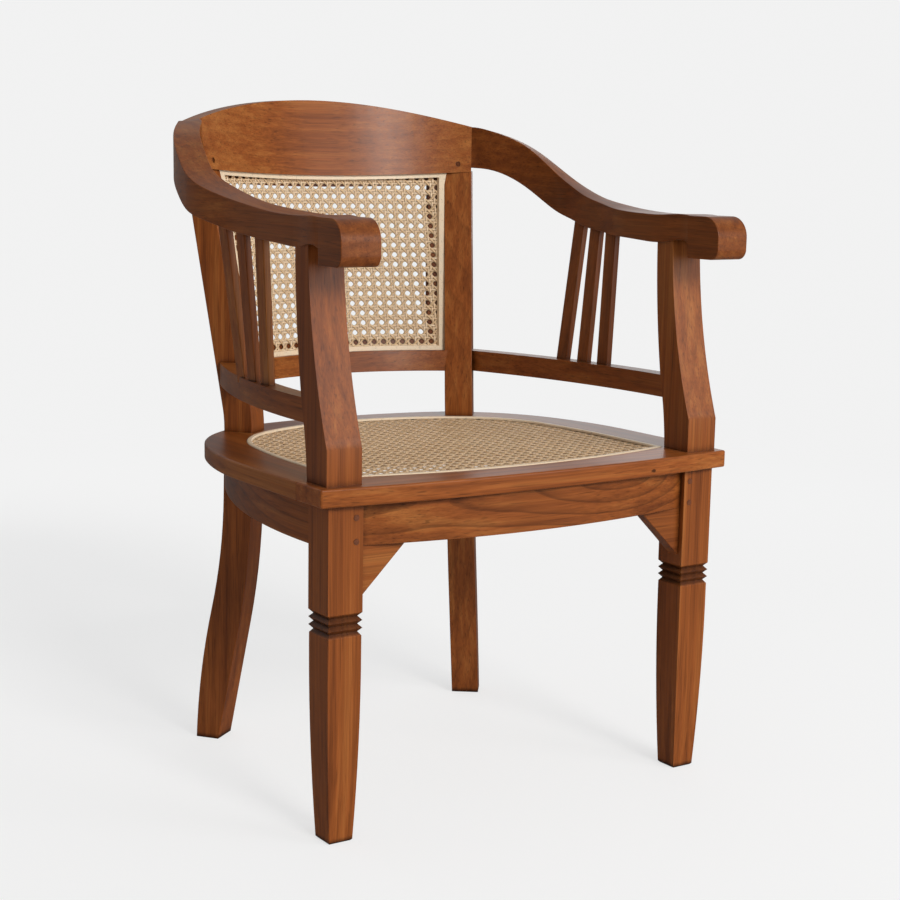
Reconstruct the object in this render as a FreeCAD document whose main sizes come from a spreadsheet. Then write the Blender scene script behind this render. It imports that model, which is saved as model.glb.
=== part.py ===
import FreeCAD, Part
import math
import os
from types import SimpleNamespace

import Sketcher

# A wooden armchair with a bowed back. Two turned-in arms run round to a curved crest, and the
# seat and the back are woven cane. Lengths are millimetres. +Z is up, the front faces -Y and
# the chair is the same on both sides of X = 0. While the pieces are shaped, Y = 0 is the front
# face of the front legs. Each finished piece is then moved so that the origin is on the floor
# under the middle of the chair.

LENGTHS = {
    # Whole chair
    "seat_height": 428,
    "arm_height": 729,
    "crest_height": 871,
    # Front legs
    "leg_inset": 14.5,
    "leg_side": 46,
    "leg_block": 127.6,
    "leg_groove_pitch": 9.25,
    "leg_groove_depth": 4.3,
    "leg_shoulder_side": 44.5,
    "leg_foot_side": 32,
    "leg_bow": 1.8,
    "foot_easing": 2,
    "leg_tenon_side": 22,
    "leg_tenon_rise": 18,
    # Rear legs
    "rear_leg_y": 425.1,
    "rear_leg_width": 39.5,
    "rear_leg_depth": 41,
    "rear_straight_below": 90,
    "rear_straight_above": 2,
    "rear_front_sweep_radius": 1000,
    "rear_back_sweep_radius": 758,
    "rear_heel_reach": 57.5,
    "rear_heel_bow": 4.3,
    "rear_front_lean_radius": 200,
    "rear_back_lean_radius": 150,
    "rear_leg_lap": 1,
    "rear_tenon_depth": 14,
    "rear_tenon_width": 24,
    "rear_tenon_rise": 20,
    # Seat ring
    "seat_thickness": 22,
    "seat_half_width": 301,
    "seat_corner_front": 9,
    "seat_front_bow": 19.5,
    "seat_side_length": 200,
    "seat_corner_y": 444.5,
    "seat_back_bow": 37,
    "seat_corner_radius": 200,
    "seat_joint_y": 50,
    # Cane of the seat
    "seat_rim": 58,
    "opening_front_bow": 33,
    "opening_side_end_y": 150,
    "opening_corner_y": 360.8,
    "opening_back_bow": 78.2,
    "opening_corner_radius": 148,
    "cane_lip": 12,
    "cane_rebate": 4,
    "cane_thickness": 2.2,
    "spline_width": 7,
    "spline_height": 3,
    "seat_cane_step": 38.5,
    "seat_cane_bar": 19.6,
    # Aprons
    "apron_height": 51,
    "apron_thickness": 22,
    "front_apron_set": 8,
    "front_apron_bow": 29.5,
    "side_apron_set": 1,
    "side_apron_bow": 26.6,
    "back_apron_set": 18,
    "bracket_length": 64,
    "bracket_drop": 63,
    "bracket_thickness": 19,
    "bracket_set": 8,
    # Arm posts
    "post_width": 46,
    "post_outset": 2.5,
    "post_foot_depth": 46,
    "post_foot_height": 42,
    "post_front_bow": 9,
    "post_top_depth": 30.5,
    "post_waist_height": 85,
    "post_waist_back": 58,
    "post_hollow": 2.2,
    "post_back_bow": 3.5,
    # Middle rails and slats
    "rail_lift": 63.5,
    "rail_height": 29,
    "rail_thickness": 24.7,
    "side_rail_inset": 10.5,
    "side_rail_start_y": 30,
    "side_rail_bow": 23,
    "corner_set": 1.5,
    "slat_width": 21.5,
    "slat_thickness": 9.5,
    "slat_first_y": 197.5,
    "slat_pitch": 40.2,
    "slat_outset": 1.8,
    "slat_foot_spread": 2.8,
    "slat_spread": 7.5,
    "slat_lean": 8,
    "slat_stub": 8,
    # Crest and cane of the back
    "crest_end_depth": 96,
    "crest_leg_set": 1.953,
    "crest_thickness": 34,
    "crest_top_radius": 760,
    "crest_depth": 104,
    "crest_bottom_radius": 2680,
    "back_cane_set": 9,
    "back_spline_width": 6,
    "back_spline_height": 5,
    "back_cane_step": 35.7,
    "back_cane_bar": 18.2,
    "back_ledge_width": 16,
    "back_ledge_thickness": 6,
    # Arms
    "arm_thickness": 35,
    "arm_width": 50,
    "arm_back_width": 34,
    "arm_bulge": 50,
    "arm_roll": 8,
    "arm_joint_step": 5,
    "nose_length": 55,
    "nose_drop": 18.5,
    "nose_top_radius": 26,
    "nose_bottom_radius": 13,
    # Joints
    "tenon_thickness": 9,
    "tenon_shoulder": 8,
    "tenon_length": 16,
    "tenon_root": 6,
    "peg_diameter": 7,
    "peg_length": 30,
    "peg_proud": 0.4,
    "peg_inset": 9.1,
    "peg_top_drop": 16.1,
    "peg_pitch": 28,
    "crest_peg_rise": 10,
    "dowel_diameter": 10,
    "dowel_length": 32,
    "dowel_spacing": 22,
    "dowel_rise": 8,
    # Clearances
    "peg_gap": 0.15,
    "overrun": 5,
}

ANGLES = {
    "rear_leg_turn_angle": 37.4,
    "rear_leg_tilt_angle": 1.98,
    "rear_front_sweep_angle": 10.2,
    "rear_back_sweep_angle": 11.8,
    "rear_front_lean_angle": 12.2,
    "rear_back_lean_angle": 10.7,
    "crest_lean_angle": 10.8,
    "crest_horn_angle": 2.962,
    "post_rake_angle": 11.236,
    "right_angle": 90,
}

GROOVES = 3
SLATS = 3
APRON_END_SHARE = 1.1

# Shares of half the width of the seat, and of half the width of its woven part
REAR_LEG_SHARE = 0.58106
SEAT_CORNER_SHARE = 0.72093
OPENING_CORNER_SHARE = 0.88525
CREST_SHARE = 1.22425

# How many bars cross each woven part, from side to side and the other way
SEAT_CANE_BARS = (13, 11)
BACK_CANE_BARS = (9, 7)

# Each section of an arm, from the crest to the nose. The run is a share of the way from the
# post to the crest, and the bulge a share of how far the arm stands out from that line. The
# turn is the angle of the section from the X axis. Width, top and bottom are shares of the way
# from the front of the arm to its crest end, and the roll tips the top face outwards.
ARM_SECTION_SHARES = (
    # run, bulge, turn, width, top, bottom, roll
    (0.955, 0.320, 48.0, 1.00, 0.965, 0.980, 0.1),
    (0.905, 0.530, 40.0, 1.00, 0.905, 0.920, 0.2),
    (0.820, 0.800, 28.0, 1.00, 0.765, 0.740, 0.6),
    (0.732, 0.925, 14.0, 1.00, 0.570, 0.520, 1.0),
    (0.645, 0.955, 2.0, 1.00, 0.378, 0.330, 1.0),
    (0.545, 0.795, -6.0, 1.00, 0.24, 0.222, 0.8),
    (0.448, 0.574, -8.0, 0.98, 0.145, 0.127, 0.4),
    (0.348, 0.404, -7.0, 0.86, 0.08, 0.075, 0.1),
    (0.268, 0.240, -6.0, 0.40, 0.04, 0.042, 0.0),
    (0.191, 0.122, -3.0, 0.08, 0.015, 0.023, 0.0),
    (0.108, 0.042, 0.0, 0.00, 0.0, 0.0, 0.0),
    (0.000, -0.026, 2.0, 0.00, 0.0, 0.0, 0.0),
    (-0.105, -0.076, 2.4, 0.00, 0.0, 0.0, 0.0),
)


class Size:
    """A number, and the expression that works it out from the cells of the sheet."""

    def __init__(self, value, text):
        self.value = value
        self.text = text

    def __add__(self, other):
        return joined(self, "+", other, self.value + number(other))

    def __radd__(self, other):
        return joined(other, "+", self, number(other) + self.value)

    def __sub__(self, other):
        return joined(self, "-", other, self.value - number(other))

    def __rsub__(self, other):
        return joined(other, "-", self, number(other) - self.value)

    def __mul__(self, other):
        return joined(self, "*", other, self.value * number(other))

    def __rmul__(self, other):
        return joined(other, "*", self, number(other) * self.value)

    def __truediv__(self, other):
        return joined(self, "/", other, self.value / number(other))

    def __neg__(self):
        return Size(-self.value, f"(-{self.text})")


def number(item):
    return item.value if isinstance(item, Size) else float(item)


def text(item):
    return item.text if isinstance(item, Size) else f"({float(item):.10g})"


def joined(left, sign, right, value):
    return Size(value, f"({text(left)} {sign} {text(right)})")


def sine(angle):
    return Size(math.sin(math.radians(number(angle))), f"sin({text(angle)})")


def cosine(angle):
    return Size(math.cos(math.radians(number(angle))), f"cos({text(angle)})")


def tangent(angle):
    return Size(math.tan(math.radians(number(angle))), f"tan({text(angle)})")


def root(item):
    return Size(math.sqrt(number(item)), f"sqrt({text(item)})")


def arc_sine(share):
    return Size(math.degrees(math.asin(number(share))), f"(asin({text(share)}) / 1 deg)")


document = FreeCAD.newDocument("Armchair")
sheet = document.addObject("Spreadsheet::Sheet", "Sizes")
for row, (alias, amount) in enumerate({**LENGTHS, **ANGLES}.items(), start=1):
    sheet.set(f"A{row}", alias.replace("_", " "))
    sheet.set(f"B{row}", str(amount))
    sheet.setAlias(f"B{row}", alias)
places = document.addObject("App::VarSet", "Places")
document.recompute()

s = SimpleNamespace(**{
    alias: Size(float(amount), f"Sizes.{alias}") for alias, amount in {**LENGTHS, **ANGLES}.items()
})
nodes = {}


def place(name, size):
    """Keep a worked-out size under a name, so that the expressions that use it stay short."""
    places.addProperty("App::PropertyFloat", name)
    places.setExpression(name, text(size))
    return Size(number(size), f"Places.{name}")


def bind(thing, bindings):
    for path, size in bindings.items():
        thing.setExpression(path, text(size))


def bow_radius(chord, rise):
    """The radius of an arc from its chord and how far its middle stands off the chord."""
    return (chord * chord / 4 + rise * rise) / (rise * 2)


# Ways to lay out and shape a piece


def centre_of_arc(start, end, radius):
    """The centre of the short arc from start to end, which bends left where radius is above 0."""
    across = (end[0] - start[0], end[1] - start[1])
    chord = math.hypot(*across)
    reach = math.copysign(math.sqrt(max(radius * radius - chord * chord / 4, 0)), radius)
    middle = ((start[0] + end[0]) / 2, (start[1] + end[1]) / 2)
    return middle[0] - across[1] / chord * reach, middle[1] + across[0] / chord * reach


def edge_between(start, end, radius):
    """One line or arc of a sketch, and the ends of it that lie at start and at end."""
    if radius is None:
        line = Part.LineSegment(FreeCAD.Vector(*start, 0), FreeCAD.Vector(*end, 0))
        return line, 1, 2
    centre = centre_of_arc(start, end, radius)
    circle = Part.Circle(FreeCAD.Vector(*centre, 0), FreeCAD.Vector(0, 0, 1), abs(radius))
    first, last = (start, end) if radius > 0 else (end, start)
    from_angle = math.atan2(first[1] - centre[1], first[0] - centre[0])
    to_angle = math.atan2(last[1] - centre[1], last[0] - centre[0])
    arc = Part.ArcOfCircle(circle, from_angle, to_angle)
    return (arc, 1, 2) if radius > 0 else (arc, 2, 1)


def outline(name, points):
    """A closed sketch. A point is (u, v), or (u, v, radius) where an arc leads to it."""
    sketch = document.addObject("Sketcher::SketchObject", name)
    ends = []
    for index, point in enumerate(points):
        start = [number(item) for item in points[index - 1][:2]]
        end = [number(item) for item in point[:2]]
        radius = point[2] if len(point) > 2 else None
        edge, first, last = edge_between(start, end, None if radius is None else number(radius))
        ends.append((sketch.addGeometry(edge), first, last, radius))
    for index, (edge, first, last, radius) in enumerate(ends):
        after, after_first = ends[(index + 1) % len(ends)][:2]
        sketch.addConstraint(Sketcher.Constraint("Coincident", edge, last, after, after_first))
        for kind, size in zip(("DistanceX", "DistanceY"), points[index][:2]):
            rule = Sketcher.Constraint(kind, -1, 1, edge, last, number(size))
            fixed = sketch.addConstraint(rule)
            sketch.setExpression(f"Constraints[{fixed}]", text(size))
        if radius is not None:
            fixed = sketch.addConstraint(Sketcher.Constraint("Radius", edge, abs(number(radius))))
            sketch.setExpression(f"Constraints[{fixed}]", text(radius if number(radius) > 0 else -radius))
    return sketch


def lay_flat(sketch, height):
    """Lay a sketch in plan, with its first axis along X and its second along Y."""
    bind(sketch, {"Placement.Base.z": height})
    return sketch


def stand_up(sketch, x, y, angle):
    """Stand a sketch on a vertical plane whose first axis runs at this angle from X."""
    spot = f"vector({text(x)}; {text(y)}; 0)"
    sketch.setExpression("Placement", f"placement({spot}; rotation({text(angle)}; 0; 90))")
    return sketch


def extrude(name, sketch, length, both_ways=False):
    piece = document.addObject("Part::Extrusion", name)
    piece.Base = sketch
    piece.DirMode = "Normal"
    piece.Solid = True
    piece.Symmetric = both_ways
    bind(piece, {"LengthFwd": length})
    return piece


def box(name, corner, lengths):
    piece = document.addObject("Part::Box", name)
    bind(piece, dict(zip(("Length", "Width", "Height"), lengths)))
    bind(piece, dict(zip(("Placement.Base.x", "Placement.Base.y", "Placement.Base.z"), corner)))
    return piece


def turned_box(name, spot, angle, ranges, bottom, height):
    """A box on axes turned about Z. Its ranges are along and across those axes from the spot."""
    (left, right), (near, far) = ranges
    corner_x = spot[0] + left * cosine(angle) - near * sine(angle)
    corner_y = spot[1] + left * sine(angle) + near * cosine(angle)
    piece = document.addObject("Part::Box", name)
    bind(piece, {"Length": right - left, "Width": far - near, "Height": height})
    corner = f"vector({text(corner_x)}; {text(corner_y)}; {text(bottom)})"
    piece.setExpression("Placement", f"placement({corner}; rotation({text(angle)}; 0; 0))")
    return piece


def rod(name, spot, turn, diameter, length):
    """A round rod that starts at the spot and runs level, at this angle from X."""
    piece = document.addObject("Part::Cylinder", name)
    bind(piece, {"Radius": diameter / 2, "Height": length})
    start = "; ".join(text(item) for item in spot)
    piece.setExpression("Placement", f"placement(vector({start}); rotation({text(turn)}; 90; 0))")
    return piece


def revolve(name, sketch, axis_y, half_angle):
    piece = document.addObject("Part::Revolution", name)
    piece.Source = sketch
    piece.Axis = (0, 0, 1)
    piece.Symmetric = True
    piece.Solid = True
    bind(piece, {"Base.y": axis_y, "Angle": half_angle * 2})
    return piece


def cut(name, base, *tools):
    """Take the tools away from the base, one after another."""
    for index, tool in enumerate(tools):
        last = index == len(tools) - 1
        piece = document.addObject("Part::Cut", name if last else f"{name}_less_{index + 1}")
        piece.Base = base
        piece.Tool = tool
        base = piece
    return base


def common(name, *shapes):
    piece = document.addObject("Part::MultiCommon", name)
    piece.Shapes = list(shapes)
    return piece


def fuse(name, *shapes):
    piece = document.addObject("Part::MultiFuse", name)
    piece.Shapes = list(shapes)
    return piece


def mirror(piece):
    """The same piece on the left side of the chair."""
    other = document.addObject("Part::Mirroring", f"{piece.Name}_mirrored")
    other.Source = piece
    other.Base = (0, 0, 0)
    other.Normal = (1, 0, 0)
    return other


def keep(label, *pieces):
    """Name a finished sub-part and move it to the origin that the whole chair uses."""
    node = document.addObject("Part::Compound", f"node_{label}")
    node.Label = label
    node.Links = list(pieces)
    bind(node, {"Placement.Base.y": -middle_y})
    nodes[label] = node


def keep_pair(label, piece, end=""):
    keep(f"{label}_right{end}", piece)
    keep(f"{label}_left{end}", mirror(piece))


# Places that several pieces share

seat_under = place("seat_under", s.seat_height - s.seat_thickness)
apron_bottom = place("apron_bottom", seat_under - s.apron_height)
leg_out = place("leg_out", s.seat_half_width - s.leg_inset)
leg_in = place("leg_in", leg_out - s.leg_side)
leg_x = place("leg_x", leg_out - s.leg_side / 2)
leg_y = place("leg_y", s.leg_side / 2)
post_x = place("post_x", leg_out + s.post_outset - s.post_width / 2)
arm_under = place("arm_under", s.arm_height - s.arm_thickness)
post_kink = place("post_kink", s.seat_height + s.post_foot_height)
post_rake = place("post_rake", (arm_under - post_kink) * tangent(s.post_rake_angle))
rail_bottom = place("rail_bottom", s.seat_height + s.rail_lift)
rail_top = place("rail_top", rail_bottom + s.rail_height)
side_rail_front_x = place("side_rail_front_x", leg_out - s.side_rail_inset)
rear_leg_x = place("rear_leg_x", s.seat_half_width * REAR_LEG_SHARE)
rear_straight_low = place("rear_straight_low", s.seat_height - s.rear_straight_below)
rear_straight_high = place("rear_straight_high", s.seat_height + s.rear_straight_above)
seat_corner_x = place("seat_corner_x", s.seat_half_width * SEAT_CORNER_SHARE)
opening_half_width = place("opening_half_width", s.seat_half_width - s.seat_rim)
opening_corner_x = place("opening_corner_x", opening_half_width * OPENING_CORNER_SHARE)
crest_end_bottom = place("crest_end_bottom", s.crest_height - s.crest_end_depth)
crest_bottom = place("crest_bottom", s.crest_height - s.crest_depth)
rear_leg_top = place("rear_leg_top", crest_end_bottom + s.rear_leg_lap)
crest_front_radius = place("crest_front_radius", s.seat_half_width * CREST_SHARE)

# Unit steps of the rear leg: along runs away from the middle of the chair, and side runs
# square to that, towards the front leg.
along = (place("along_x", sine(s.rear_leg_turn_angle)), place("along_y", cosine(s.rear_leg_turn_angle)))
side = (along[1], place("side_y", -sine(s.rear_leg_turn_angle)))
rear_half = s.rear_leg_width / 2


def beside_rear_leg(out, aside, height):
    """A point in plan, out and aside from the middle of the rear leg at this height."""
    shift = aside - (height - s.seat_height) * tangent(s.rear_leg_tilt_angle)
    return rear_leg_x + along[0] * out + side[0] * shift, s.rear_leg_y + along[1] * out + side[1] * shift


def rear_leg_front_at(height):
    """How far the leaning front face of the rear leg is from the middle of the leg."""
    start = s.rear_front_lean_radius
    step = start * (1 - cosine(s.rear_front_lean_angle))
    rest = height - rear_straight_high - start * sine(s.rear_front_lean_angle)
    return -s.rear_leg_depth / 2 + step + rest * tangent(s.rear_front_lean_angle)


def rear_leg_back_at(height):
    start = s.rear_back_lean_radius
    step = start * (1 - cosine(s.rear_back_lean_angle))
    rest = height - rear_straight_high - start * sine(s.rear_back_lean_angle)
    return s.rear_leg_depth / 2 + step + rest * tangent(s.rear_back_lean_angle)


# The back is part of a cone about an upright axis: its radius grows with the height. The crest
# stands on the rear legs, just in front of their faces.

back_slope = place("back_slope", tangent(s.crest_lean_angle))
leg_top_front = beside_rear_leg(rear_leg_front_at(rear_leg_top), 0, rear_leg_top)
leg_top_x = place("leg_top_x", leg_top_front[0])
crest_at_leg = place("crest_at_leg", crest_front_radius + s.rear_leg_lap * back_slope + s.crest_leg_set)
leg_top_reach = root(crest_at_leg * crest_at_leg - leg_top_x * leg_top_x)
back_axis_y = place("back_axis_y", leg_top_front[1] - leg_top_reach)
crest_end_angle = place("crest_end_angle", arc_sine(leg_top_x / crest_at_leg) + s.crest_horn_angle)


def back_radius(height, behind_front):
    """The radius of a face of the back, this far behind the front face of the crest."""
    return crest_front_radius + behind_front + (height - crest_end_bottom) * back_slope


def crest_top_at(x):
    drop = s.crest_top_radius - root(s.crest_top_radius * s.crest_top_radius - x * x)
    return s.crest_height - drop


def crest_bottom_at(x):
    rise = s.crest_bottom_radius - root(s.crest_bottom_radius * s.crest_bottom_radius - x * x)
    return crest_bottom + rise


back_most = back_axis_y + back_radius(s.crest_height, s.crest_thickness)


# Arms: their plan line comes first, because the nose sets the front of the chair

crest_middle = back_radius(crest_end_bottom, s.crest_thickness / 2)
crest_end_x = place("crest_end_x", crest_middle * sine(crest_end_angle))
crest_end_y = place("crest_end_y", back_axis_y + crest_middle * cosine(crest_end_angle))
post_top_y = place("post_top_y", post_rake + s.post_top_depth / 2)
arm_run_x = place("arm_run_x", crest_end_x - post_x)
arm_run_y = place("arm_run_y", crest_end_y - post_top_y)
crest_end_top = place("crest_end_top", crest_top_at(crest_end_x))
crest_end_under = place("crest_end_under", crest_bottom_at(crest_end_x))
joint_under = place("joint_under", crest_end_under + s.arm_joint_step)

nose_shares = ARM_SECTION_SHARES[-1]
nose_x = place("nose_x", post_x + arm_run_x * nose_shares[0] + s.arm_bulge * nose_shares[1])
nose_y = place("nose_y", post_top_y + arm_run_y * nose_shares[0])
nose_turn = Size(nose_shares[2], f"({nose_shares[2]})")
front_most = nose_y - s.nose_length * cosine(nose_turn)
middle_y = place("middle_y", (front_most + back_most) / 2)


def arm_section(index, shares):
    """A four-cornered section of the right arm, on an upright plane across its run."""
    run, bulge, turn, narrow, top, bottom, roll = shares
    x = post_x + arm_run_x * run + s.arm_bulge * bulge
    y = post_top_y + arm_run_y * run
    half = (s.arm_width + (s.arm_back_width - s.arm_width) * narrow) / 2
    upper = s.arm_height + (crest_end_top - s.arm_height) * top
    lower = arm_under + (joint_under - arm_under) * bottom
    tip = s.arm_roll * roll / 2
    sketch = outline(f"arm_section_{index}", [
        (-half, lower),
        (half, lower),
        (half, upper - tip),
        (-half, upper + tip),
    ])
    return stand_up(sketch, x, y, Size(turn, f"({turn})"))


def arm_crest_section():
    """The section where the arm meets the crest, whose underside is lower than that of the arm."""
    corners = []
    for height, behind in ((joint_under, 0), (joint_under, 1), (crest_end_top, 1), (crest_end_top, 0)):
        edge = height
        if height is crest_end_top:
            edge = crest_top_at(back_radius(height, s.crest_thickness * behind) * sine(crest_end_angle))
        corners.append((back_radius(edge, s.crest_thickness * behind), edge))
    sketch = outline("arm_section_0", corners)
    return stand_up(sketch, 0, back_axis_y, s.right_angle - crest_end_angle)


def arm_nose():
    """The blunt end of the arm, which drops below its underside and is rounded in front."""
    under = arm_under - s.nose_drop
    sketch = outline("arm_nose_outline", [
        (0, under),
        (s.nose_length - s.nose_bottom_radius, under),
        (s.nose_length, under + s.nose_bottom_radius, s.nose_bottom_radius),
        (s.nose_length, s.arm_height - s.nose_top_radius),
        (s.nose_length - s.nose_top_radius, s.arm_height, s.nose_top_radius),
        (0, s.arm_height),
    ])
    stand_up(sketch, nose_x, nose_y, nose_turn - s.right_angle)
    return extrude("arm_nose", sketch, s.arm_width, both_ways=True)


def arm():
    sections = [arm_crest_section()]
    for index, shares in enumerate(ARM_SECTION_SHARES, start=1):
        sections.append(arm_section(index, shares))
    bar = document.addObject("Part::Loft", "arm_bar")
    bar.Sections = sections
    bar.Solid = True
    return fuse("arm_solid", bar, arm_nose())


# Front legs


def front_leg():
    """Square in both views: block, grooves and taper are cut the same from front and side."""
    block_bottom = seat_under - s.leg_block
    shoulder = block_bottom - s.leg_groove_pitch * GROOVES
    half_side = s.leg_side / 2
    taper_run = (s.leg_shoulder_side - s.leg_foot_side) / 2
    taper_rise = shoulder - s.foot_easing
    taper_chord = place("taper_chord", root(taper_run * taper_run + taper_rise * taper_rise))
    taper_radius = place("taper_radius", bow_radius(taper_chord, s.leg_bow))
    foot = [(s.leg_foot_side / 2 - s.foot_easing, 0), (s.leg_foot_side / 2, s.foot_easing)]
    neck = (s.leg_shoulder_side / 2, shoulder)
    above = []
    for groove in range(GROOVES):
        bottom = shoulder + s.leg_groove_pitch * groove
        above.append((half_side - s.leg_groove_depth, bottom + s.leg_groove_pitch / 2))
        above.append((half_side, bottom + s.leg_groove_pitch))
    above.append((half_side, seat_under))
    points = [*foot, (*neck, taper_radius), *above]
    points += [(-half, height) for half, height in reversed([neck, *above])]
    points += [(-foot[1][0], foot[1][1], taper_radius), (-foot[0][0], foot[0][1])]
    from_front = stand_up(outline("leg_from_front", points), leg_x, leg_y, 0)
    from_side = stand_up(outline("leg_from_side", points), leg_x, leg_y, s.right_angle)
    post = common(
        "leg_shaft",
        extrude("leg_front_prism", from_front, s.leg_side, both_ways=True),
        extrude("leg_side_prism", from_side, s.leg_side, both_ways=True),
    )
    return fuse("leg_solid", post, leg_tenon())


def leg_tenon():
    half = s.leg_tenon_side / 2
    return box(
        "leg_tenon",
        (leg_x - half, leg_y - half, seat_under),
        (s.leg_tenon_side, s.leg_tenon_side, s.seat_thickness + s.leg_tenon_rise),
    )


# Rear legs


def rear_leg_outline():
    front = -s.rear_leg_depth / 2
    back = s.rear_leg_depth / 2
    front_knee_z = rear_straight_low - s.rear_front_sweep_radius * sine(s.rear_front_sweep_angle)
    front_knee = front + s.rear_front_sweep_radius * (1 - cosine(s.rear_front_sweep_angle))
    toe = front_knee + (front_knee_z + s.overrun) * tangent(s.rear_front_sweep_angle)
    back_knee_z = rear_straight_low - s.rear_back_sweep_radius * sine(s.rear_back_sweep_angle)
    back_knee = back + s.rear_back_sweep_radius * (1 - cosine(s.rear_back_sweep_angle))
    heel_run = s.rear_heel_reach - back_knee
    heel_chord = root(heel_run * heel_run + back_knee_z * back_knee_z)
    front_lean_z = rear_straight_high + s.rear_front_lean_radius * sine(s.rear_front_lean_angle)
    back_lean_z = rear_straight_high + s.rear_back_lean_radius * sine(s.rear_back_lean_angle)
    top = rear_leg_top + s.overrun
    return outline("rear_leg_outline", [
        (toe, -s.overrun),
        (s.rear_heel_reach, -s.overrun),
        (s.rear_heel_reach, 0),
        (back_knee, back_knee_z, bow_radius(heel_chord, s.rear_heel_bow)),
        (back, rear_straight_low, -s.rear_back_sweep_radius),
        (back, rear_straight_high),
        (rear_leg_back_at(back_lean_z), back_lean_z, -s.rear_back_lean_radius),
        (rear_leg_back_at(top), top),
        (rear_leg_front_at(top), top),
        (rear_leg_front_at(front_lean_z), front_lean_z),
        (front, rear_straight_high, s.rear_front_lean_radius),
        (front, rear_straight_low),
        (front_knee, front_knee_z, s.rear_front_sweep_radius),
    ])


def rear_leg():
    """Sawn in one piece, turned to face the middle of the chair and tilted in towards the crest."""
    sketch = rear_leg_outline()
    stand_up(sketch, rear_leg_x, s.rear_leg_y, s.right_angle - s.rear_leg_turn_angle)
    blank = extrude("rear_leg_blank", sketch, s.rear_leg_width, both_ways=True)
    axis = f"vector({text(along[0])}; {text(along[1])}; 0)"
    centre = f"vector({text(rear_leg_x)}; {text(s.rear_leg_y)}; {text(s.seat_height)})"
    turn = f"rotation({axis}; {text(-s.rear_leg_tilt_angle)})"
    blank.setExpression("Placement", f"placement(vector(0; 0; 0); {turn}; {centre})")
    reach = rear_leg_top
    level = box(
        "rear_leg_level",
        (rear_leg_x - reach, s.rear_leg_y - reach, 0),
        (reach * 2, reach * 2, rear_leg_top),
    )
    return common("rear_leg_shaft", blank, level)


def rear_leg_tenon():
    """The tenon on top of the rear leg, which goes up into the crest."""
    height = rear_leg_top
    middle = (rear_leg_front_at(height) + rear_leg_back_at(height)) / 2
    lean = (height - s.seat_height) * tangent(s.rear_leg_tilt_angle)
    half_depth = s.rear_tenon_depth / 2
    half_width = s.rear_tenon_width / 2
    return turned_box(
        "rear_leg_tenon",
        (rear_leg_x, s.rear_leg_y),
        s.right_angle - s.rear_leg_turn_angle,
        ((middle - half_depth, middle + half_depth), (lean - half_width, lean + half_width)),
        height,
        s.rear_tenon_rise,
    )


# Seat ring


def bowed_outline(name, width, front, front_bow, side_end, corner, back_bow, corner_radius):
    """Bowed on all sides. A small arc at each rear corner runs into the side and the back."""
    inwards = width - corner[0]
    backwards = corner[1] - side_end
    side_radius = place(f"{name}_side_radius", (inwards * inwards + backwards * backwards) / (inwards * 2))
    back_arc = place(f"{name}_back_radius", bow_radius(corner[0] * 2, back_bow))
    side_centre = (width - side_radius, side_end)
    back_centre_y = corner[1] + back_bow - back_arc
    step = (-side_centre[0], back_centre_y - side_centre[1])
    apart = place(f"{name}_centres_apart", root(step[0] * step[0] + step[1] * step[1]))
    side_reach = side_radius - corner_radius
    back_reach = back_arc - corner_radius
    forth = (side_reach * side_reach - back_reach * back_reach + apart * apart) / (apart * 2)
    aside = root(side_reach * side_reach - forth * forth)
    turn_x = place(f"{name}_turn_x", side_centre[0] + (step[0] * forth - step[1] * aside) / apart)
    turn_y = place(f"{name}_turn_y", side_centre[1] + (step[1] * forth + step[0] * aside) / apart)
    grown_side = side_radius / side_reach
    grown_back = back_arc / back_reach
    start = (
        place(f"{name}_turn_start_x", side_centre[0] + (turn_x - side_centre[0]) * grown_side),
        place(f"{name}_turn_start_y", side_centre[1] + (turn_y - side_centre[1]) * grown_side),
    )
    end = (
        place(f"{name}_turn_end_x", turn_x * grown_back),
        place(f"{name}_turn_end_y", back_centre_y + (turn_y - back_centre_y) * grown_back),
    )
    return outline(f"{name}_outline", [
        (-width, front),
        (width, front, bow_radius(width * 2, front_bow)),
        (width, side_end),
        (*start, side_radius),
        (*end, corner_radius),
        (-end[0], end[1], back_arc),
        (-start[0], start[1], corner_radius),
        (-width, side_end, side_radius),
    ])


def seat_outline():
    front = -s.seat_corner_front
    return bowed_outline(
        "seat",
        s.seat_half_width,
        front,
        s.seat_front_bow,
        front + s.seat_side_length,
        (seat_corner_x, s.seat_corner_y),
        s.seat_back_bow,
        s.seat_corner_radius,
    )


def opening_outline():
    """The edge of the woven cane of the seat."""
    return bowed_outline(
        "opening",
        opening_half_width,
        s.seat_joint_y,
        s.opening_front_bow,
        s.opening_side_end_y,
        (opening_corner_x, s.opening_corner_y),
        s.opening_back_bow,
        s.opening_corner_radius,
    )


def inset(name, sketch, distance, band=False):
    """The same outline, this far inside the first, or the flat band between the two."""
    line = document.addObject("Part::Offset2D", name)
    line.Source = sketch
    line.Join = "Intersection"
    line.Fill = band
    bind(line, {"Value": -distance})
    return line


def raised(name, base, bottom, height):
    """A prism on a flat outline, with its foot at this height."""
    piece = extrude(name, base, height)
    bind(piece, {"Placement.Base.z": bottom})
    return piece


def crossing_bars(name, centre, second, counts, step, width):
    """Bars at a step, side by side along X and along a second axis, which is 1 for Y or 2 for Z."""
    far = s.crest_height
    bars = []
    for axis, count in zip((0, second), counts):
        for index in range(count):
            corner = [centre[i] - far for i in range(3)]
            lengths = [far * 2] * 3
            corner[axis] = centre[axis] + step * (index - (count - 1) / 2) - width / 2
            lengths[axis] = width
            bars.append(box(f"{name}_{axis}_{index + 1}", corner, lengths))
    return fuse(f"{name}s", *bars)


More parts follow.
